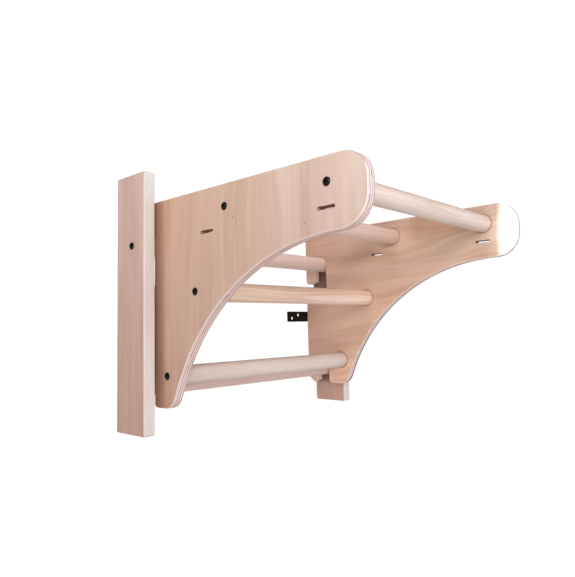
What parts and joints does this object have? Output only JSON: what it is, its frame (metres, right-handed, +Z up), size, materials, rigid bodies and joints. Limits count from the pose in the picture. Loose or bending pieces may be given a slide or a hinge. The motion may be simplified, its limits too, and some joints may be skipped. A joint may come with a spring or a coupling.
{
  "type": "wall bars with hook-on pull-up frame",
  "caption": "Head section of wooden wall bars: uprights on steel wall brackets carry round rungs, and an arched plywood frame with round pull-up bars hooks over them and lifts off.",
  "frame": {"origin": "on the wall plane, midway between the uprights, level with the brackets' centre line", "axes": "+X to the right as seen from the room, +Y into the wall, +Z up"},
  "size_m": [0.6924, 0.62, 0.54],
  "materials": {
    "beech": "solid beech, sanded, clear satin lacquer",
    "plywood": "beech-faced plywood, clear satin lacquer, layered edge",
    "black_steel": "black coated steel",
    "zinc_steel": "zinc-plated steel"
  },
  "bodies": {
    "wall_frame": {"left_upright": "beech", "right_upright": "beech", "upper_rung": "beech", "lower_rung": "beech", "left_rung_bolt": "black_steel", "left_rung_insert": "zinc_steel", "left_wall_bracket": "black_steel", "left_bracket_screws": "black_steel", "right_rung_bolt": "black_steel", "right_rung_insert": "zinc_steel", "right_wall_bracket": "black_steel", "right_bracket_screws": "black_steel"},
    "pull_up_frame": {"left_side_plate": "plywood", "right_side_plate": "plywood", "front_bar": "beech", "second_bar": "beech", "middle_bar": "beech", "lower_bar": "beech", "left_front_bolt": "black_steel", "left_front_insert": "zinc_steel", "left_second_bolt": "black_steel", "left_second_insert": "zinc_steel", "left_middle_bolt": "black_steel", "left_middle_insert": "zinc_steel", "left_lower_bolt": "black_steel", "left_lower_insert": "zinc_steel", "right_front_bolt": "black_steel", "right_front_insert": "zinc_steel", "right_second_bolt": "black_steel", "right_second_insert": "zinc_steel", "right_middle_bolt": "black_steel", "right_middle_insert": "zinc_steel", "right_lower_bolt": "black_steel", "right_lower_insert": "zinc_steel"}
  },
  "joints": [
    {"name": "frame_lift", "type": "slide", "parent": "wall_frame", "child": "pull_up_frame", "axis": [0, 0, 1], "range_m": [0, 0.076]}
  ]
}
